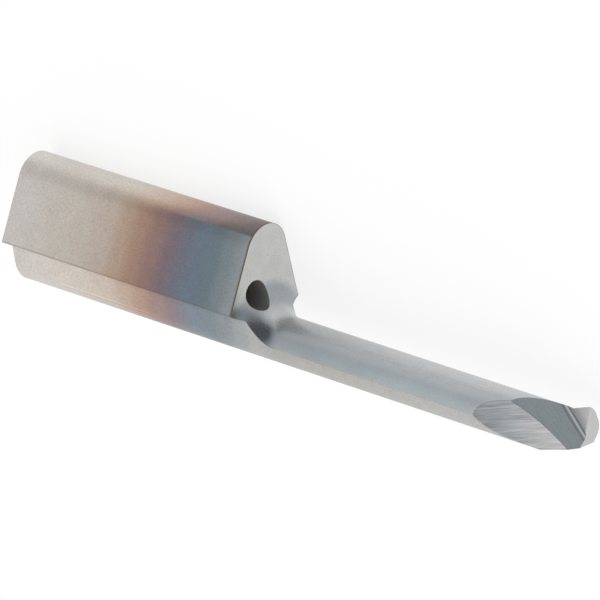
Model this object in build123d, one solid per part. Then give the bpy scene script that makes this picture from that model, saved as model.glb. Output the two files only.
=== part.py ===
from build123d import *
from math import cos, radians, sin, sqrt, tan
import os

# Solid-carbide miniature boring bar with a teardrop clamping shank, one piece.
#
# Tool frame used while modelling, in millimetres:
#   X runs along the bar from the rear face to the cutting corner,
#   Z points from the round keel towards the round crown of the shank,
#   -Y is the side that the rake face looks towards.
# The keel's own axis is the X axis. At the end the bar is laid on its +Y flank,
# which is how it comes to rest, with the origin under the middle of its box.

# Shank: one constant teardrop section
shank_length = 19.0
shank_width = 6.14            # across the two flank corners
shoulder_height = 1.18        # flank corners above the keel axis
flank_angle = 19.3            # each flank leans in by this from vertical
crown_radius = 1.74
shoulder_fillet = 0.17        # inside corner between shoulder and keel wall
keel_radius = 1.85
keel_draft = 14.8             # each keel wall leans out by this from vertical

# Coolant hole, straight through the shank
coolant_diameter = 1.7
coolant_height = 2.18         # above the keel axis
coolant_side = 0.93           # towards the rake side

# Neck: ground round about an axis below the keel axis
reach = 25.0                  # cutting corner in front of the shank face
neck_radius = 1.84
neck_drop = 0.85
neck_fillet = 2.2

# Nose: the raised end that carries the cutting corner
corner_height = 1.54          # above the keel axis
nose_slope = 15.0             # side clearance falls away rearwards
nose_relief = 20.5            # clearance behind the side cutting edge
nose_relief_radius = 2.85
nose_length = 5.0

# End face and heel
end_relief = 10.4             # end face falls back from the rake side
end_recess = 8.6              # end face falls back from the corner downwards
heel_start = 21.55            # heel begins this far in front of the shank face
heel_angle = 14.9
heel_tilt = 2.5               # heel drops a little away from the rake side

# Side flat: a shallow hollow left by the rim of a large grinding wheel
flat_bottom = 23.5            # deepest line in front of the shank face
flat_depth = 0.64             # deepest line lies this far on the rake side of the axis
flat_climb = 15.0             # the wheel climbs by this while it runs forward
flat_tilt = 5.8
flat_wheel_radius = 13.0

# Rake land and the round-bottomed chip groove behind it
rake_angle = 15.0
rake_land = 1.58              # cutting corner to the groove's near edge
groove_dip = 33.0             # groove falls by this in the rake plane
groove_wall = 62.2            # back wall turned up from the rake plane
groove_radius = 0.31
groove_depth = 0.11           # groove bottom under the rake land

# Crown centre above the keel axis
crown_height = (
    shoulder_height
    + shank_width / 2 / tan(radians(flank_angle))
    - crown_radius / sin(radians(flank_angle))
)
overall_length = shank_length + reach
clear = 3 * shank_width       # longer than any cut made across the bar
margin = 1.0                  # overshoot of cuts past an open end

corner = Vector(overall_length, 0, corner_height)
across = Plane(origin=(0, 0, 0), x_dir=(0, 1, 0), z_dir=(1, 0, 0))


def teardrop():
    """Crown arc, straight flanks, undercut shoulders and round-bottomed keel."""
    flank = radians(flank_angle)
    draft = radians(keel_draft)
    crown = (crown_radius * cos(flank), crown_height + crown_radius * sin(flank))
    edge = (shank_width / 2, shoulder_height)
    keel = (keel_radius * cos(draft), -keel_radius * sin(draft))
    over = ((edge[0] - keel[0]) * cos(draft) - (edge[1] - keel[1]) * sin(draft)) / cos(flank + draft)
    root = (edge[0] - over * cos(flank), edge[1] - over * sin(flank))
    right = [crown, edge, root, keel]
    left = [(-y, z) for y, z in reversed(right)]
    outline = ThreePointArc(left[-1], (0, crown_height + crown_radius), right[0])
    outline += Polyline(*right)
    outline += ThreePointArc(right[-1], (0, -keel_radius), left[0])
    outline += Polyline(*left)
    section = make_face(outline)
    inside = [v for v in section.vertices() if abs(v.Y - root[1]) < 1e-6]
    return fillet(inside, shoulder_fillet)


def ground_envelope():
    """Space left by the neck grind: full shank, fillet and round neck."""
    rim = neck_radius + neck_fillet
    neck_start = shank_length + neck_fillet
    front = overall_length + margin
    middle = neck_fillet * (1 - sqrt(0.5))
    outline = Polyline(
        (neck_start, neck_radius),
        (front, neck_radius),
        (front, 0),
        (-margin, 0),
        (-margin, clear),
        (shank_length, clear),
        (shank_length, rim),
    )
    outline += ThreePointArc(
        (shank_length, rim),
        (shank_length + middle, neck_radius + middle),
        (neck_start, neck_radius),
    )
    axis = Axis((0, 0, -neck_drop), (1, 0, 0))
    upright = Plane(origin=axis.position, x_dir=axis.direction, z_dir=(0, -1, 0))
    return revolve(upright * make_face(outline), axis)


def nose():
    """Raised clearance land behind the cutting corner, falling rearwards."""
    relief = radians(nose_relief)
    centre_y = -nose_relief_radius * sin(relief)
    centre_z = corner_height - nose_relief_radius * cos(relief)
    disc = across.offset(overall_length) * Pos(centre_y, centre_z) * Circle(nose_relief_radius)
    slope = radians(nose_slope)
    return extrude(disc, nose_length, dir=(cos(slope), 0, sin(slope)), both=True)


def beyond(origin, normal):
    """Everything on the far side of a plane, as a cutting block."""
    block = Box(clear, clear, clear, align=(Align.CENTER, Align.CENTER, Align.MIN))
    return Plane(origin=origin, z_dir=normal) * block


def end_cut():
    """Waste in front of the end face, which passes through the cutting corner."""
    return beyond(corner, (1, tan(radians(end_relief)), -tan(radians(end_recess))))


def heel_cut():
    """Waste under the sloping heel."""
    start = Vector(shank_length + heel_start, 0, -keel_radius)
    return beyond(start, (tan(radians(heel_angle)), -tan(radians(heel_tilt)), -1))


def side_flat_cut():
    """Waste beside the hollow-ground flat, as the grinding wheel itself."""
    climb = radians(flat_climb)
    tilt = radians(flat_tilt)
    feed = Vector(cos(climb), 0, sin(climb))
    axle = Vector(-sin(climb) * cos(tilt), sin(tilt), cos(climb) * cos(tilt))
    deepest = Vector(shank_length + flat_bottom, -flat_depth, 0)
    hub = deepest + feed.cross(axle) * flat_wheel_radius
    return extrude(Plane(origin=hub, z_dir=axle) * Circle(flat_wheel_radius), clear / 2, both=True)


def groove_cut():
    """Waste over the rake land and in the chip groove, back wall included."""
    rake = radians(rake_angle)
    dip = radians(groove_dip)
    wall = radians(groove_wall)
    forward = Vector(cos(rake), -sin(rake), 0)
    up = Vector(0, 0, 1)
    along = forward * cos(dip) - up * sin(dip)
    outward = forward * sin(dip) + up * cos(dip)
    root_y = groove_radius - groove_depth
    root_x = (groove_radius - root_y * cos(wall)) / sin(wall)
    near_edge = (root_x + sqrt(groove_radius**2 - root_y**2), 0)
    far_edge = (root_x - groove_radius * sin(wall), root_y - groove_radius * cos(wall))
    foot = corner - outward * (rake_land + near_edge[0])
    outline = ThreePointArc(far_edge, (root_x, -groove_depth), near_edge)
    outline += Polyline(near_edge, (clear, 0), (clear, clear), (-clear / tan(wall), clear), far_edge)
    waste = Plane(origin=foot, x_dir=outward, z_dir=along) * make_face(outline)
    return extrude(waste, clear, both=True)


def coolant_hole():
    """Straight hole that breaks out through the neck fillet."""
    length = shank_length + neck_fillet + margin
    circle = across.offset(-margin) * Pos(-coolant_side, coolant_height) * Circle(coolant_diameter / 2)
    return extrude(circle, length)


def boring_bar():
    """The whole bar in the tool frame."""
    blank = extrude(across * teardrop(), overall_length)
    bar = blank & (ground_envelope() + nose())
    bar -= coolant_hole()
    bar -= side_flat_cut()
    bar -= groove_cut()
    bar -= heel_cut()
    bar -= end_cut()
    return bar


def at_rest(bar):
    """Lay the bar on its +Y flank and centre the box's underside on the origin."""
    lying = Rot(X=-90 - flank_angle) * bar
    box = lying.bounding_box()
    return Pos(-box.center().X, -box.center().Y, -box.min.Z) * lying


os.makedirs("parts", exist_ok=True)
export_step(at_rest(boring_bar()), "parts/boring_bar.step")
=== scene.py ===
import bmesh
import bpy
import math
from math import cos, pi, radians, sin, sqrt, tan
from mathutils import Matrix, Vector


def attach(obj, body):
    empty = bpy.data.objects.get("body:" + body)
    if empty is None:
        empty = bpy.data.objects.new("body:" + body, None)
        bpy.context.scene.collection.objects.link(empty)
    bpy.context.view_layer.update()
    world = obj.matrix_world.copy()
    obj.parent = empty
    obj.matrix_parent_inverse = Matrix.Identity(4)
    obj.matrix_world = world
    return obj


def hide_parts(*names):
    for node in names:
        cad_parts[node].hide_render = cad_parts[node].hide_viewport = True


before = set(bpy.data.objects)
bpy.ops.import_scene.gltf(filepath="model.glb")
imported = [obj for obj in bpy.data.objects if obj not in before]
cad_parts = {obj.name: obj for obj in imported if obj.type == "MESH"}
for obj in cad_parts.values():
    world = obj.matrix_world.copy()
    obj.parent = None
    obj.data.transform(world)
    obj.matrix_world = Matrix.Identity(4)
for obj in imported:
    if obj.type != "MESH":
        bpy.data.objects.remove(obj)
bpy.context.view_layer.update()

# ---------------------------------------------------------------- sizes, mm, as in the CAD source
# Tool frame: X from the rear face to the cutting corner, Z from keel to crown,
# -Y is the side that the rake face looks towards, the keel's axis is the X axis.
SHANK_LENGTH = 19.0
SHANK_WIDTH = 6.14
SHOULDER_HEIGHT = 1.18
FLANK = radians(19.3)
CROWN_RADIUS = 1.74
SHOULDER_FILLET = 0.17
KEEL_RADIUS = 1.85
KEEL_DRAFT = radians(14.8)
HOLE_RADIUS = 0.85
HOLE_HEIGHT = 2.18
HOLE_SIDE = 0.93
REACH = 25.0
NECK_RADIUS = 1.84
NECK_DROP = 0.85
NECK_FILLET = 2.2
CORNER_HEIGHT = 1.54
NOSE_SLOPE = radians(15.0)
NOSE_RELIEF = radians(20.5)
NOSE_RADIUS = 2.85
NOSE_LENGTH = 5.0
END_RELIEF = radians(10.4)
END_RECESS = radians(8.6)
HEEL_START = 21.55
HEEL_ANGLE = radians(14.9)
HEEL_TILT = radians(2.5)
FLAT_BOTTOM = 23.5
FLAT_DEPTH = 0.64
FLAT_CLIMB = radians(15.0)
FLAT_TILT = radians(5.8)
WHEEL_RADIUS = 13.0
RAKE = radians(15.0)
RAKE_LAND = 1.58
GROOVE_DIP = radians(33.0)
GROOVE_WALL = radians(62.2)
GROOVE_RADIUS = 0.31
GROOVE_DEPTH = 0.11
CROWN_HEIGHT = SHOULDER_HEIGHT + SHANK_WIDTH / 2 / tan(FLANK) - CROWN_RADIUS / sin(FLANK)
LENGTH = SHANK_LENGTH + REACH
CLEAR = 3 * SHANK_WIDTH
MARGIN = 1.0
CORNER = Vector((LENGTH, 0, CORNER_HEIGHT))

# Edge breaks that only the visual mesh carries
CORNER_BREAK = 0.07         # rounding of the two flank corners
REAR_BREAK = 0.05           # chamfer round the rear face, less than the corner break

# Tool frame in mm to the row frame in metres: the bar lies on its +Y flank
LIE = Matrix.Rotation(-(pi / 2 + FLANK), 4, "X")
UNLIE = LIE.inverted()
REST_Y = -2.154449
REST_Z = 3.287476
TO_ROW = (
    Matrix.Scale(0.001, 4)
    @ Matrix.Translation((-LENGTH / 2, REST_Y, REST_Z))
    @ LIE
)
MM = 1000.0
AXIS_Y, AXIS_Z = Vector((0, 1, 0)), Vector((0, 0, 1))

# Mesh fineness: steps on an arc of the section, a corner, and the round tools
ARC_STEPS = 28
CORNER_STEPS = 5
ROOT_STEPS = 24
HOLE_STEPS = 96
TURN_STEPS = 240
WHEEL_STEPS = 1440
WELD = 1e-5                 # mm, points nearer than this are one
SHARP = radians(12)         # edges that turn more than this stay sharp

# Directions of the ground faces at the tip, tool frame
WALL_WAY = (0.3451, -0.5745, 0.7422)
SAME_WAY = 0.999            # cosine between two normals that count as the same
FLAT_FEED = (cos(FLAT_CLIMB), 0.0, sin(FLAT_CLIMB))
FLAT_ACROSS = (-sin(FLAT_CLIMB), 0.0, cos(FLAT_CLIMB))
GROOVE_FEED = (0.81, -0.217, -0.545)
WALL_ACROSS = (0.47, 0.79, 0.39)
LAND_ACROSS = (0.526, -0.141, 0.839)


# ---------------------------------------------------------------- mesh helpers
def arc(centre, radius, start, end, steps):
    """Points on an arc, both ends included, angles in radians."""
    return [
        (centre[0] + radius * cos(a), centre[1] + radius * sin(a))
        for a in (start + (end - start) * i / steps for i in range(steps + 1))
    ]


def rounded(before, corner, after, radius):
    """The points that round one corner of an outline."""
    b, c, a = Vector(before), Vector(corner), Vector(after)
    u, v = (b - c).normalized(), (a - c).normalized()
    half = u.angle(v) / 2
    centre = c + (u + v).normalized() * radius / sin(half)
    first, last = c + u * radius / tan(half), c + v * radius / tan(half)
    s, e = first - centre, last - centre
    turn = s.angle_signed(e)
    start = math.atan2(s.y, s.x)
    return arc(centre, radius, start, start - turn, CORNER_STEPS)


def teardrop():
    """The shank's section as (y, z) points, anticlockwise seen from the front."""
    crown = (CROWN_RADIUS * cos(FLANK), CROWN_HEIGHT + CROWN_RADIUS * sin(FLANK))
    edge = (SHANK_WIDTH / 2, SHOULDER_HEIGHT)
    keel = (KEEL_RADIUS * cos(KEEL_DRAFT), -KEEL_RADIUS * sin(KEEL_DRAFT))
    slack = (edge[0] - keel[0]) * cos(KEEL_DRAFT) - (edge[1] - keel[1]) * sin(KEEL_DRAFT)
    over = slack / cos(FLANK + KEEL_DRAFT)
    root = (edge[0] - over * cos(FLANK), edge[1] - over * sin(FLANK))
    right = arc((0, 0), KEEL_RADIUS, -pi / 2, -KEEL_DRAFT, ARC_STEPS)
    right += rounded(keel, root, edge, SHOULDER_FILLET)
    right += rounded(root, edge, crown, CORNER_BREAK)
    right += arc((0, CROWN_HEIGHT), CROWN_RADIUS, FLANK, pi / 2, ARC_STEPS)
    left = [(-y, z) for y, z in reversed(right[1:-1])]
    return right + left


def inset(outline, depth):
    """An outline moved inwards by a small depth."""
    count = len(outline)
    out = []
    for i, p in enumerate(outline):
        a, b = Vector(outline[i - 1]), Vector(outline[(i + 1) % count])
        along = (b - a).normalized()
        out.append((p[0] - along.y * depth, p[1] + along.x * depth))
    return out


def solid(name, rings, finish):
    """A closed body through rings of points, capped at both ends."""
    bm = bmesh.new()
    loops = [[bm.verts.new(p) for p in ring] for ring in rings]
    bm.faces.new(list(reversed(loops[0])))
    bm.faces.new(loops[-1])
    for a, b in zip(loops, loops[1:]):
        for i in range(len(a)):
            j = (i + 1) % len(a)
            bm.faces.new((a[i], a[j], b[j], b[i]))
    bmesh.ops.recalc_face_normals(bm, faces=bm.faces)
    if bm.calc_volume(signed=True) < 0:
        bmesh.ops.reverse_faces(bm, faces=bm.faces)
    mesh = bpy.data.meshes.new(name)
    bm.to_mesh(mesh)
    bm.free()
    mesh.materials.append(finish)
    return bpy.data.objects.new(name, mesh)


def combine(body, tool, operation):
    """Boolean of two bodies; cut faces keep the tool's finish."""
    bpy.context.scene.collection.objects.link(body)
    bpy.context.scene.collection.objects.link(tool)
    cut = body.modifiers.new("cut", "BOOLEAN")
    cut.object = tool
    cut.operation = operation
    cut.solver = "EXACT"
    cut.material_mode = "TRANSFER"
    graph = bpy.context.evaluated_depsgraph_get()
    mesh = bpy.data.meshes.new_from_object(body.evaluated_get(graph), depsgraph=graph)
    result = bpy.data.objects.new(body.name, mesh)
    bpy.data.objects.remove(body)
    bpy.data.objects.remove(tool)
    return result


def circle(centre, x_dir, y_dir, radius, steps):
    """Points of a circle in space."""
    turns = [2 * pi * i / steps for i in range(steps)]
    return [centre + x_dir * radius * cos(a) + y_dir * radius * sin(a) for a in turns]


def beyond(name, origin, normal, finish):
    """Block on the far side of a plane."""
    n = Vector(normal).normalized()
    u = n.orthogonal().normalized()
    v = n.cross(u)
    square = [(-1, -1), (1, -1), (1, 1), (-1, 1)]
    near = [Vector(origin) + (u * a + v * b) * CLEAR / 2 for a, b in square]
    far = [p + n * CLEAR for p in near]
    return solid(name, [near, far], finish)


# ---------------------------------------------------------------- the bar's forms
def blank(finish):
    """The teardrop bar before grinding, with its chamfered rear face."""
    section = teardrop()
    stations = [(0, inset(section, REAR_BREAK)), (REAR_BREAK, section), (LENGTH, section)]
    rings = [[Vector((x, y, z)) for y, z in outline] for x, outline in stations]
    return solid("blank", rings, finish)


def ground_envelope(finish):
    """All that one turning grind leaves: the shank, front face, fillet and eccentric neck."""
    rim = NECK_RADIUS + NECK_FILLET
    start = SHANK_LENGTH + NECK_FILLET
    profile = [(-MARGIN, CLEAR), (SHANK_LENGTH, CLEAR)]
    profile += arc((start, rim), NECK_FILLET, pi, 1.5 * pi, ARC_STEPS)
    profile += [(LENGTH + MARGIN, NECK_RADIUS)]
    rings = [
        circle(Vector((x, 0, -NECK_DROP)), AXIS_Y, AXIS_Z, radius, TURN_STEPS)
        for x, radius in profile
    ]
    return solid("envelope", rings, finish)


def nose(finish):
    """The round clearance behind the cutting corner, a slanted cylinder."""
    centre = Vector((
        LENGTH,
        -NOSE_RADIUS * sin(NOSE_RELIEF),
        CORNER_HEIGHT - NOSE_RADIUS * cos(NOSE_RELIEF),
    ))
    run = Vector((cos(NOSE_SLOPE), 0, sin(NOSE_SLOPE))) * NOSE_LENGTH
    ends = [circle(centre + run * k, AXIS_Y, AXIS_Z, NOSE_RADIUS, TURN_STEPS) for k in (-1, 1)]
    return solid("nose", ends, finish)


def coolant_hole(finish):
    """The hole right through the shank."""
    ends = [
        circle(Vector((x, -HOLE_SIDE, HOLE_HEIGHT)), AXIS_Y, AXIS_Z, HOLE_RADIUS, HOLE_STEPS)
        for x in (-MARGIN, SHANK_LENGTH + NECK_FILLET + MARGIN)
    ]
    return solid("hole", ends, finish)


def wheel(finish):
    """The grinding wheel that leaves the hollow flat behind the tip."""
    feed = Vector(FLAT_FEED)
    axle = Vector((
        -sin(FLAT_CLIMB) * cos(FLAT_TILT),
        sin(FLAT_TILT),
        cos(FLAT_CLIMB) * cos(FLAT_TILT),
    ))
    side = feed.cross(axle).normalized()
    deepest = Vector((SHANK_LENGTH + FLAT_BOTTOM, -FLAT_DEPTH, 0))
    hub = deepest + feed.cross(axle) * WHEEL_RADIUS
    forward = side.cross(axle)
    ends = [
        circle(hub + axle * k * CLEAR / 2, forward, side, WHEEL_RADIUS, WHEEL_STEPS)
        for k in (-1, 1)
    ]
    return solid("wheel", ends, finish)


def groove(finish):
    """The rake cut: land, round root and steep wall, as one prism along the groove."""
    forward = Vector((cos(RAKE), -sin(RAKE), 0))
    along = forward * cos(GROOVE_DIP) - AXIS_Z * sin(GROOVE_DIP)
    outward = forward * sin(GROOVE_DIP) + AXIS_Z * cos(GROOVE_DIP)
    away = along.cross(outward)
    root_y = GROOVE_RADIUS - GROOVE_DEPTH
    root_x = (GROOVE_RADIUS - root_y * cos(GROOVE_WALL)) / sin(GROOVE_WALL)
    near = (root_x + sqrt(GROOVE_RADIUS**2 - root_y**2), 0)
    foot = CORNER - outward * (RAKE_LAND + near[0])
    start = math.atan2(near[1] - root_y, near[0] - root_x)
    bottom = arc((root_x, root_y), GROOVE_RADIUS, start, -pi / 2 - GROOVE_WALL, ROOT_STEPS)
    outline = [(-CLEAR / tan(GROOVE_WALL), CLEAR), (CLEAR, CLEAR), (CLEAR, 0)] + bottom
    ends = [
        [foot + outward * p + away * q + along * CLEAR * k for p, q in outline]
        for k in (-1, 1)
    ]
    return solid("groove", ends, finish)


def bar_mesh(finish):
    """The whole bar in the tool frame; finish holds one material for each grind."""
    body = combine(ground_envelope(finish["neck"]), nose(finish["nose"]), "UNION")
    body = combine(blank(finish["shank"]), body, "INTERSECT")
    body = combine(body, coolant_hole(finish["bore"]), "DIFFERENCE")
    body = combine(body, wheel(finish["flat"]), "DIFFERENCE")
    body = combine(body, groove(finish["groove"]), "DIFFERENCE")
    heel_at = (SHANK_LENGTH + HEEL_START, 0, -KEEL_RADIUS)
    heel_way = (tan(HEEL_ANGLE), -tan(HEEL_TILT), -1)
    body = combine(body, beyond("heel", heel_at, heel_way, finish["heel"]), "DIFFERENCE")
    end_way = (1, tan(END_RELIEF), -tan(END_RECESS))
    return combine(body, beyond("end", CORNER, end_way, finish["end"]), "DIFFERENCE")


def finished(body, finish):
    """Welds, sets sharp edges, parts the rake cut into lit and shaded copies of one finish, and
    moves to the row frame.
    """
    mesh = body.data
    bm = bmesh.new()
    bm.from_mesh(mesh)
    bmesh.ops.remove_doubles(bm, verts=bm.verts, dist=WELD)
    bmesh.ops.dissolve_degenerate(bm, edges=bm.edges, dist=WELD)
    for f in bm.faces:
        f.smooth = True
    for e in bm.edges:
        if len(e.link_faces) == 2:
            e.smooth = e.calc_face_angle(0) < SHARP
    groove_slot = mesh.materials.find("groove_wall_shaded")
    land_slot = len(mesh.materials)
    mesh.materials.append(finish["land"])
    mesh.materials.append(finish["root"])
    land_way = Vector((sin(RAKE), cos(RAKE), 0))
    wall_way = Vector(WALL_WAY)
    for f in bm.faces:
        if f.material_index == groove_slot:
            if abs(f.normal.dot(land_way)) > SAME_WAY:
                f.material_index = land_slot
            elif abs(f.normal.dot(wall_way)) < SAME_WAY:
                f.material_index = land_slot + 1
    bmesh.ops.transform(bm, matrix=TO_ROW, verts=bm.verts)
    bm.to_mesh(mesh)
    bm.free()
    return body


# ---------------------------------------------------------------- finishes
def lin(r, g, b):
    """A colour given as 0 to 255 display values, as the linear colour that nodes take."""
    shares = (v / 255 for v in (r, g, b))
    return (*(v / 12.92 if v <= 0.04045 else ((v + 0.055) / 1.055) ** 2.4 for v in shares), 1.0)


RANGE_SOCKETS = ("From Min", "From Max", "To Min", "To Max")


class Finish:
    """One procedural finish, metal unless told otherwise, in tool-frame millimetres."""

    def __init__(self, name, roughness=0.4, metallic=1.0):
        self.material = bpy.data.materials.new(name)
        self.material.use_nodes = True
        self.tree = self.material.node_tree
        self.shader = self.tree.nodes["Principled BSDF"]
        self.shader.inputs["Metallic"].default_value = metallic
        self.shader.inputs["Roughness"].default_value = roughness
        place = self.tree.nodes.new("ShaderNodeTexCoord")
        turn = self.tree.nodes.new("ShaderNodeMapping")
        back = TO_ROW.inverted()
        turn.inputs["Scale"].default_value = (MM, MM, MM)
        turn.inputs["Rotation"].default_value = UNLIE.to_euler()
        turn.inputs["Location"].default_value = back.translation
        self.link(place.outputs["Object"], turn.inputs["Vector"])
        self.mm = turn.outputs["Vector"]
        split = self.node("SeparateXYZ", self.mm)
        self.x, self.y, self.z = split.outputs
        self.edge = None

    def link(self, a, b):
        self.tree.links.new(a, b)

    def node(self, kind, *inputs, **settings):
        """A node: plain inputs in order, capitalised keywords by socket, the rest settings."""
        n = self.tree.nodes.new("ShaderNode" + kind)
        for key, value in settings.items():
            if key[0].isupper():
                self.put(n.inputs[key], value)
            else:
                setattr(n, key, value)
        for i, value in enumerate(inputs):
            self.put(n.inputs[i], value)
        return n

    def put(self, socket, value):
        if value is None:
            return
        if isinstance(value, bpy.types.NodeSocket):
            self.link(value, socket)
        elif socket.type == "VECTOR":
            socket.default_value = value[:3]
        else:
            socket.default_value = value

    def math(self, operation, *inputs):
        return self.node("Math", *inputs, operation=operation).outputs[0]

    def along(self, x, y, z, offset=0.0):
        """A linear distance in the tool frame: x X + y Y + z Z + offset."""
        dot = self.node("VectorMath", self.mm, (x, y, z), operation="DOT_PRODUCT")
        return self.math("ADD", dot.outputs["Value"], offset)

    def step(self, value, low, high, out_low=0.0, out_high=1.0):
        """A smooth step from out_low at low to out_high at high."""
        n = self.node("MapRange", value, interpolation_type="SMOOTHSTEP")
        for key, v in zip(RANGE_SOCKETS, (low, high, out_low, out_high)):
            n.inputs[key].default_value = v
        return n.outputs["Result"]

    def band(self, value, start, on, off, end):
        """1 between on and off, fading to 0 at start and end."""
        return self.math("MULTIPLY", self.step(value, start, on), self.step(value, end, off))

    def noise(self, scales, detail=3.0, rough=0.55, seed=0.0):
        """Noise of about zero mean, with its own scale on each tool axis, per mm."""
        shift = self.node("VectorMath", self.mm, (seed, seed * 1.7, seed * 0.6), operation="ADD")
        size = self.node("VectorMath", shift.outputs["Vector"], scales, operation="MULTIPLY")
        n = self.node("TexNoise", size.outputs["Vector"], noise_dimensions="3D")
        n.inputs["Scale"].default_value = 1.0
        n.inputs["Detail"].default_value = detail
        n.inputs["Roughness"].default_value = rough
        return self.math("SUBTRACT", n.outputs["Fac"], 0.5)

    def mix(self, factor, a, b, blend="MIX"):
        n = self.node("Mix", data_type="RGBA", blend_type=blend)
        self.put(n.inputs["Factor"], factor)
        self.put(n.inputs["A"], a)
        self.put(n.inputs["B"], b)
        return n.outputs["Result"]

    def ramp(self, value, low, high, stops):
        """Colours along a distance; stops are (distance, colour)."""
        share = self.math("DIVIDE", self.math("SUBTRACT", value, low), high - low)
        n = self.node("ValToRGB", share)
        n.color_ramp.interpolation = "EASE"
        elements = n.color_ramp.elements
        while len(elements) < len(stops):
            elements.new(0.5)
        for element, (place, colour) in zip(elements, stops):
            element.position = (place - low) / (high - low)
            element.color = colour
        return n.outputs["Color"]

    def scaled(self, colour, amount):
        """The colour times one plus amount."""
        gain = self.math("ADD", amount, 1.0)
        return self.node("VectorMath", colour, operation="SCALE", Scale=gain).outputs["Vector"]

    def rim(self, width):
        """0 on a face, towards 1 near its sharp edges, over about width mm.
        """
        bevel = self.node("Bevel", samples=8)
        bevel.inputs["Radius"].default_value = width / MM
        flat = self.node("NewGeometry").outputs["Normal"]
        dot = self.node("VectorMath", bevel.outputs["Normal"], flat, operation="DOT_PRODUCT")
        self.edge = bevel.outputs["Normal"]
        return self.step(dot.outputs["Value"], 0.995, 0.90)

    def finish(self, colour, lines, depth, roughness, spread):
        """Sets colour, grinding lines as bump, and roughness that follows the lines."""
        bump = self.node("Bump")
        bump.inputs["Strength"].default_value = 1.0
        bump.inputs["Distance"].default_value = depth / MM
        self.put(bump.inputs["Height"], lines)
        self.put(bump.inputs["Normal"], self.edge)
        self.put(self.shader.inputs["Base Color"], colour)
        self.put(self.shader.inputs["Normal"], bump.outputs["Normal"])
        rough = self.math("MULTIPLY_ADD", lines, spread, roughness)
        self.put(self.shader.inputs["Roughness"], rough)
        return self.material


BROWN_EDGE = lin(104, 90, 80)   # sharp edges of the shank and neck
GRIT = (9.0, 9.0, 9.0)      # fine grain of the ground carbide, per mm
CUT_DEPTH = 0.004           # mm, grinding lines of the cut faces
CUT_FINE = 7.0              # streaks per mm across the feed
CUT_LONG = 0.35             # and along it

# Heights and places on the shank, mm in the tool frame
CROWN_LINE = 5.85           # where the flank's tints give way to the crown's
CROWN_TOP = 6.42
KEEL_LINE = (1.1, 0.4)      # where the flank's tints give way to the keel's
REAR_FACE = (0.06, 0.02)    # how far from the rear its plain colour reaches
FLANK_REACH = 40.0          # length of the flank's run of tints
CROWN_REACH = 20.0          # and of the crown's

# Plain etched line on the keel with a painted highlight beside it, and burnt edges: fade in, full,
# full, fade out
ETCH_AT = radians(60.0)     # place round the keel
ETCH_SPAN = (3.6, 4.2, 11.7, 11.9)
ETCH_HIGHLIGHT = (-0.035, -0.01, 0.01, 0.03)    # radians from ETCH_AT
ETCH_DARK = (-0.08, -0.055, -0.045, -0.03)
LOWER_BURN = (-0.04, 0.01, 0.06, 0.14)      # mm above the shoulder's edge
FRONT_BURN = (SHANK_LENGTH - 0.15, SHANK_LENGTH - 0.08)
FRONT_BURN_FOOT = (1.1, 1.3)                # the front edge is burnt above this height

# Painted shade in the concave fillet, slate coloured, tool frame: each pair runs from no shade to
# full shade
FILLET_SHADE_SLOPE = (0.68, 0, 1)
FILLET_SHADE_PLANE = (15.0, 14.3)
FILLET_SHADE_FRONT = (21.8, 20.6)
FILLET_SHADE_SIDE = (-0.2, -0.9)

# Heat tints as (mm from the rear, colour), set by readings along the
# photographed shank, then adjusted for this room's light
FLANK_TINTS = [
    (0.0, lin(193, 188, 184)),
    (5.0, lin(186, 179, 170)),
    (8.0, lin(179, 167, 156)),
    (9.3, lin(171, 149, 133)),
    (10.6, lin(158, 130, 115)),
    (11.9, lin(141, 116, 111)),
    (13.2, lin(122, 108, 115)),
    (14.2, lin(111, 113, 125)),
    (15.2, lin(106, 118, 131)),
    (16.6, lin(106, 120, 127)),
    (17.6, lin(120, 129, 134)),
    (18.8, lin(138, 145, 148)),
    (20.0, lin(158, 161, 160)),
    (23.0, lin(168, 168, 164)),
    (35.0, lin(176, 176, 175)),
]
CROWN_TINTS = [
    (0.0, lin(197, 191, 186)),
    (6.0, lin(196, 189, 181)),
    (8.0, lin(192, 182, 172)),
    (9.5, lin(190, 173, 158)),
    (11.0, lin(183, 160, 145)),
    (12.0, lin(174, 148, 134)),
    (13.0, lin(158, 134, 126)),
    (14.5, lin(144, 129, 128)),
    (16.0, lin(130, 118, 114)),
    (17.0, lin(114, 107, 107)),
    (19.0, lin(106, 105, 105)),
]


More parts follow.
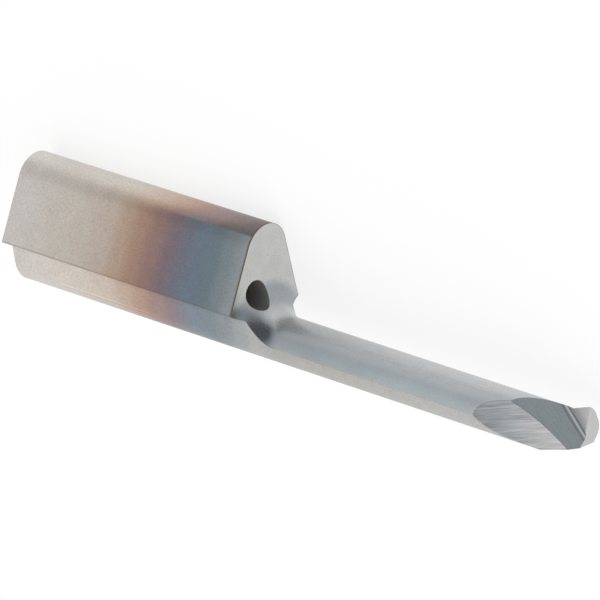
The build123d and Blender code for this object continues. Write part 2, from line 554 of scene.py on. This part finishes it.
def shank_finish():
    """Ground blank: heat tints from straw to slate along the flank, straw to brown on the crown."""
    f = Finish("shank_grind")
    wobble = f.noise((0.35, 0.5, 0.5), detail=2.0)
    heat = f.math("MULTIPLY_ADD", wobble, 0.7, f.x)
    late = f.math("SUBTRACT", heat, f.step(f.z, CROWN_LINE, CROWN_TOP, -0.3, 1.7))
    crown_tint_and_highlight = f.ramp(late, 0.0, CROWN_REACH, CROWN_TINTS)
    # Painted highlight: the crown's tints grow lighter towards its crest, and a little darker at
    # the crown line.
    crown_tint_and_highlight = f.scaled(crown_tint_and_highlight, f.step(f.z, 5.8, CROWN_TOP, -0.08, 0.2))
    side = f.ramp(heat, 0.0, FLANK_REACH, FLANK_TINTS)
    side = f.scaled(side, f.step(f.z, 4.9, 5.7, 0.0, -0.06))
    soft = f.step(f.z, CROWN_LINE - 0.4, CROWN_LINE + 0.3)
    crisp = f.step(f.z, CROWN_LINE - 0.06, CROWN_LINE + 0.06)
    change = f.math("SUBTRACT", crisp, soft)
    change = f.math("MULTIPLY_ADD", change, f.step(f.x, 10.0, 14.5), soft)
    colour = f.mix(change, side, crown_tint_and_highlight)
    low = f.step(f.z, *KEEL_LINE)
    # Paler keel strip: partly its own paler tint, partly painted light, as the keel faces the light
    # differently from the flank.
    keel = f.mix(0.10, colour, lin(190, 180, 170))
    keel = f.scaled(keel, f.step(f.x, 19.0, 22.0, 0.12, -0.04))
    keel = f.scaled(keel, f.step(f.x, 0.0, 4.0, -0.10, 0.0))
    colour = f.mix(low, colour, keel)
    rear = f.step(f.x, *REAR_FACE)
    colour = f.mix(rear, colour, lin(190, 187, 183))
    grain = f.noise(GRIT, detail=2.0, rough=0.6)
    lines = f.noise((0.35, 14.0, 14.0), detail=2.0, seed=3.0)
    both = f.math("ADD", grain, lines)
    colour = f.scaled(colour, f.math("MULTIPLY", grain, 0.75))
    colour = f.scaled(colour, f.math("MULTIPLY", lines, 0.18))
    cloud = f.noise((0.9, 0.9, 0.9), detail=3.0, seed=9.0)
    colour = f.scaled(colour, f.math("MULTIPLY", cloud, 0.16))
    back_y, back_z = (f.math("MULTIPLY", v, -1.0) for v in (f.y, f.z))
    round_keel = f.math("ARCTAN2", back_y, back_z)
    etched = f.band(f.x, *ETCH_SPAN)
    # A painted highlight along the etched line, and the etch's own dark line beside it.
    for limits, gain in ((ETCH_HIGHLIGHT, 0.22), (ETCH_DARK, -0.25)):
        line = f.band(round_keel, *(ETCH_AT + d for d in limits))
        colour = f.scaled(colour, f.math("MULTIPLY", f.math("MULTIPLY", line, etched), gain))
    front = f.math("MULTIPLY", f.step(f.x, *FRONT_BURN), f.step(f.z, *FRONT_BURN_FOOT))
    lower = f.band(f.z, *(SHOULDER_HEIGHT + d for d in LOWER_BURN))
    lower = f.math("MULTIPLY", lower, f.math("SUBTRACT", 1.0, rear))
    front = f.math("MULTIPLY", front, 0.8)
    burnt = f.math("MAXIMUM", front, f.math("MULTIPLY", lower, 0.35))
    colour = f.mix(burnt, colour, BROWN_EDGE)
    colour = f.mix(f.math("MULTIPLY", f.rim(0.09), 0.8), colour, BROWN_EDGE)
    return f.finish(colour, both, 0.004, 0.38, 0.25)


def neck_finish():
    """Front face, fillet and neck, ground in one pass: a pale face that is a painted reflection, a
    slate fillet that is painted shade, and a bluish neck with painted shading.
    """
    f = Finish("neck_grind")
    # Painted reflection: the front face is paler than the rest of this one grind.
    face = lin(200, 200, 198)
    height = f.math("DIVIDE", f.along(0, 0.231, 0.973, 0.973 * NECK_DROP), NECK_RADIUS)
    # Painted shading: the neck's bluish grey grows lighter towards its upper side.
    neck_tint_and_shading = [
        (-1.0, lin(168, 173, 176)),
        (0.0, lin(163, 170, 174)),
        (0.4, lin(165, 172, 177)),
        (0.7, lin(178, 182, 185)),
        (0.95, lin(196, 197, 198)),
    ]
    neck = f.ramp(height, -1.0, 1.0, neck_tint_and_shading)
    up = f.math("ADD", f.z, NECK_DROP)
    out = f.math("SQRT", f.math("MULTIPLY_ADD", up, up, f.math("MULTIPLY", f.y, f.y)))
    # out is the distance from the neck's axis: face, then a slate collar, then the neck. The pale
    # face is a painted reflection of the bright floor, and the slate collar is painted shade in the
    # concave fillet.
    colour = f.mix(f.step(out, 3.9, 3.2), face, lin(163, 168, 172))
    colour = f.mix(f.step(out, 2.7, 1.95), colour, neck)
    # Painted shade: a dark slate patch in the concave fillet on the rake side.
    fillet_shade = f.step(f.along(*FILLET_SHADE_SLOPE), *FILLET_SHADE_PLANE)
    fillet_shade = f.math("MULTIPLY", fillet_shade, f.step(f.x, *FILLET_SHADE_FRONT))
    fillet_shade = f.math("MULTIPLY", fillet_shade, f.step(f.y, *FILLET_SHADE_SIDE))
    colour = f.mix(f.math("MULTIPLY", fillet_shade, 0.75), colour, lin(104, 110, 114))
    # Painted shade: the neck is darker just past the fillet, fading out along it.
    near = f.math("MULTIPLY", f.step(f.x, 20.2, 21.4), f.step(f.x, 33.0, 22.5))
    colour = f.scaled(colour, f.math("MULTIPLY", near, -0.17))
    grain = f.noise(GRIT, detail=2.0, rough=0.6, seed=5.0)
    lines = f.noise((0.5, 12.0, 12.0), detail=2.0, seed=7.0)
    both = f.math("ADD", grain, lines)
    colour = f.scaled(colour, f.math("MULTIPLY", both, 0.34))
    cloud = f.noise((0.7, 1.2, 1.2), detail=3.0, seed=11.0)
    colour = f.scaled(colour, f.math("MULTIPLY", cloud, 0.2))
    colour = f.mix(f.math("MULTIPLY", f.rim(0.08), 0.8), colour, BROWN_EDGE)
    return f.finish(colour, both, 0.003, 0.30, 0.25)


def cut_finish(name, colour, feed, across, contrast, roughness, fade=None):
    """A face left by one pass of a wheel: streaks run along feed, colour may fade along X as
    painted shading.
    """
    f = Finish(name)
    if fade:
        start, stop, other = fade
        colour = f.mix(f.step(f.x, start, stop), colour, other)
    over, flow = f.along(*across), f.along(*feed)
    over, flow = f.math("MULTIPLY", over, CUT_FINE), f.math("MULTIPLY", flow, CUT_LONG)
    line = f.node("CombineXYZ", over, flow, 0.0)
    n = f.node("TexNoise", line.outputs["Vector"], noise_dimensions="2D")
    n.inputs["Scale"].default_value = 1.0
    n.inputs["Detail"].default_value = 3.0
    n.inputs["Roughness"].default_value = 0.6
    streak = f.math("SUBTRACT", n.outputs["Fac"], 0.5)
    grain = f.noise(GRIT, detail=2.0, rough=0.6, seed=13.0)
    tone = f.scaled(colour, f.math("MULTIPLY", streak, contrast))
    tone = f.scaled(tone, f.math("MULTIPLY", grain, 0.12))
    tone = f.mix(f.math("MULTIPLY", f.rim(0.05), 0.45), tone, lin(150, 146, 142))
    both = f.math("MULTIPLY_ADD", grain, 0.3, streak)
    return f.finish(tone, both, CUT_DEPTH, roughness, 0.3)


def bore_finish():
    """Dull dark wall of the coolant hole, with a bluish rim."""
    f = Finish("bore", metallic=0.0)
    grain = f.noise((3.0, 6.0, 6.0), detail=3.0, seed=17.0)
    colour = f.scaled(lin(146, 145, 142), f.math("MULTIPLY", grain, 0.4))
    colour = f.mix(f.math("MULTIPLY", f.rim(0.05), 0.7), colour, lin(96, 108, 112))
    return f.finish(colour, grain, 0.01, 0.6, 0.2)


finishes = {
    "shank": shank_finish(),
    "neck": neck_finish(),
    "nose": cut_finish("nose_grind", lin(188, 188, 186), (0, 1, 0), (1, 0, 0), 0.15, 0.36),
    "bore": bore_finish(),
    "flat": cut_finish(
        "flat_grind", lin(168, 173, 176), FLAT_FEED, FLAT_ACROSS, 1.3, 0.36,
        # Painted shading across the hollow flat's curve: lighter and greyer towards the tip.
        fade=(37.8, 41.6, lin(177, 177, 177)),
    ),
    # Lit and shaded copies of the rake cut's one finish: a shaded wall, a lit land and a highlit
    # root.
    "groove": cut_finish(
        "groove_wall_shaded", lin(150, 158, 162), GROOVE_FEED, WALL_ACROSS, 0.35, 0.30,
    ),
    "land": cut_finish("rake_land_lit", lin(179, 178, 178), GROOVE_FEED, LAND_ACROSS, 0.2, 0.30),
    "root": cut_finish("groove_root_highlight", lin(164, 169, 172), GROOVE_FEED, LAND_ACROSS, 0.2, 0.30),
    "heel": cut_finish("heel_grind", lin(176, 176, 174), (0, 1, 0), (1, 0, 0), 0.2, 0.36),
    "end": cut_finish("end_grind", lin(194, 194, 193), (0, 0.3, 1), (0, 1, -0.3), 0.15, 0.36),
}

bar = finished(bar_mesh(finishes), finishes)
bar.name = "bar_body"
bpy.context.scene.collection.objects.link(bar)
bar.modifiers.new("normals", "WEIGHTED_NORMAL").keep_sharp = True
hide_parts("boring_bar")
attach(bar, "root")

# ---------------------------------------------------------------- floor, light and camera
FLOOR_SIZE = 2.0
FLOOR_GAP = 0.00002         # m below the bar, so the two never share a plane
FLOOR_ALBEDO = 0.22
FLOOR_LIFT = 0.80           # added for the camera and for reflections


def floor_material():
    """Pale floor that keeps the shadow. Only the camera and reflections see its added
    white, and through reflections it does light the metal bar."""
    m = bpy.data.materials.new("floor")
    m.use_nodes = True
    t = m.node_tree
    t.nodes.clear()
    out = t.nodes.new("ShaderNodeOutputMaterial")
    mix = t.nodes.new("ShaderNodeAddShader")
    dif = t.nodes.new("ShaderNodeBsdfDiffuse")
    dif.inputs["Color"].default_value = (FLOOR_ALBEDO, FLOOR_ALBEDO, FLOOR_ALBEDO, 1)
    em = t.nodes.new("ShaderNodeEmission")
    path = t.nodes.new("ShaderNodeLightPath")
    seen = t.nodes.new("ShaderNodeMath")
    seen.operation = "MAXIMUM"
    t.links.new(path.outputs["Is Camera Ray"], seen.inputs[0])
    t.links.new(path.outputs["Is Glossy Ray"], seen.inputs[1])
    lift = t.nodes.new("ShaderNodeMath")
    lift.operation = "MULTIPLY"
    lift.inputs[1].default_value = FLOOR_LIFT
    t.links.new(seen.outputs[0], lift.inputs[0])
    t.links.new(lift.outputs[0], em.inputs["Strength"])
    t.links.new(dif.outputs[0], mix.inputs[0])
    t.links.new(em.outputs[0], mix.inputs[1])
    t.links.new(mix.outputs[0], out.inputs["Surface"])
    return m


bpy.ops.mesh.primitive_plane_add(size=FLOOR_SIZE, location=(0, 0, -FLOOR_GAP))
floor = bpy.context.object
floor.name = "floor"
floor.data.materials.append(floor_material())


CAM_AZIMUTH = radians(131.7084)
CAM_ELEVATION = radians(34.6398)
CAM_ROLL = radians(-129.4626)
CAM_DISTANCE = 0.352160
CAM_TARGET = Vector((-0.0002805, -0.0000384, 0.0024623))
CAM_LENS = 353.967
CAM_BACK = Vector((
    sin(CAM_AZIMUTH) * cos(CAM_ELEVATION),
    -cos(CAM_AZIMUTH) * cos(CAM_ELEVATION),
    sin(CAM_ELEVATION),
))

SKY_BRIGHT = 1.15
CARD_DARK = 0.26                    # level inside the card, as a share of SKY_BRIGHT
CARD_WAY = (0.32, 0.82, 0.43)       # fixed, about 25 degrees off the main camera's direction
CARD_OUTER, CARD_INNER = 62, 28     # degrees from its middle: even light, fully dark


def studio():
    """A plain pale room: even light with one large soft dark card. The card darkens
    whatever mirrors it, in any view. The camera itself sees plain white."""
    world = bpy.data.worlds.new("studio")
    bpy.context.scene.world = world
    world.use_nodes = True
    t = world.node_tree
    sky = t.nodes["Background"]
    where = t.nodes.new("ShaderNodeTexCoord")

    def patch(way, outer, inner, outside, inside):
        """A round patch of the sky about a fixed direction, from outside to inside level."""
        dot = t.nodes.new("ShaderNodeVectorMath")
        dot.operation = "DOT_PRODUCT"
        dot.inputs[1].default_value = Vector(way).normalized()
        t.links.new(where.outputs["Generated"], dot.inputs[0])
        shade = t.nodes.new("ShaderNodeMapRange")
        shade.interpolation_type = "SMOOTHSTEP"
        limits = (cos(radians(outer)), cos(radians(inner)), outside, inside)
        for key, v in zip(RANGE_SOCKETS, limits):
            shade.inputs[key].default_value = v
        t.links.new(dot.outputs["Value"], shade.inputs["Value"])
        return shade.outputs["Result"]

    level = t.nodes.new("ShaderNodeMath")
    level.operation = "MULTIPLY"
    t.links.new(patch(CARD_WAY, CARD_OUTER, CARD_INNER, 1.0, CARD_DARK), level.inputs[0])
    level.inputs[1].default_value = SKY_BRIGHT
    path = t.nodes.new("ShaderNodeLightPath")
    pick = t.nodes.new("ShaderNodeMix")
    t.links.new(path.outputs["Is Camera Ray"], pick.inputs["Factor"])
    t.links.new(level.outputs["Value"], pick.inputs["A"])
    pick.inputs["B"].default_value = 1.0
    t.links.new(pick.outputs["Result"], sky.inputs["Strength"])
    sky.inputs["Color"].default_value = (1, 1, 1, 1)


def add_camera():
    """Camera at the photograph's viewing angle."""
    data = bpy.data.cameras.new("camera")
    data.sensor_width = 36.0
    data.lens = CAM_LENS
    data.clip_start = 0.01
    data.clip_end = 10.0
    cam = bpy.data.objects.new("camera", data)
    level = (-CAM_BACK).to_track_quat("-Z", "Y").to_matrix()
    cam.rotation_mode = "QUATERNION"
    cam.rotation_quaternion = (level @ Matrix.Rotation(CAM_ROLL, 3, "Z")).to_quaternion()
    cam.location = CAM_TARGET + CAM_BACK * CAM_DISTANCE
    bpy.context.scene.collection.objects.link(cam)
    bpy.context.scene.camera = cam


studio()
add_camera()
bpy.context.scene.view_settings.view_transform = "Standard"
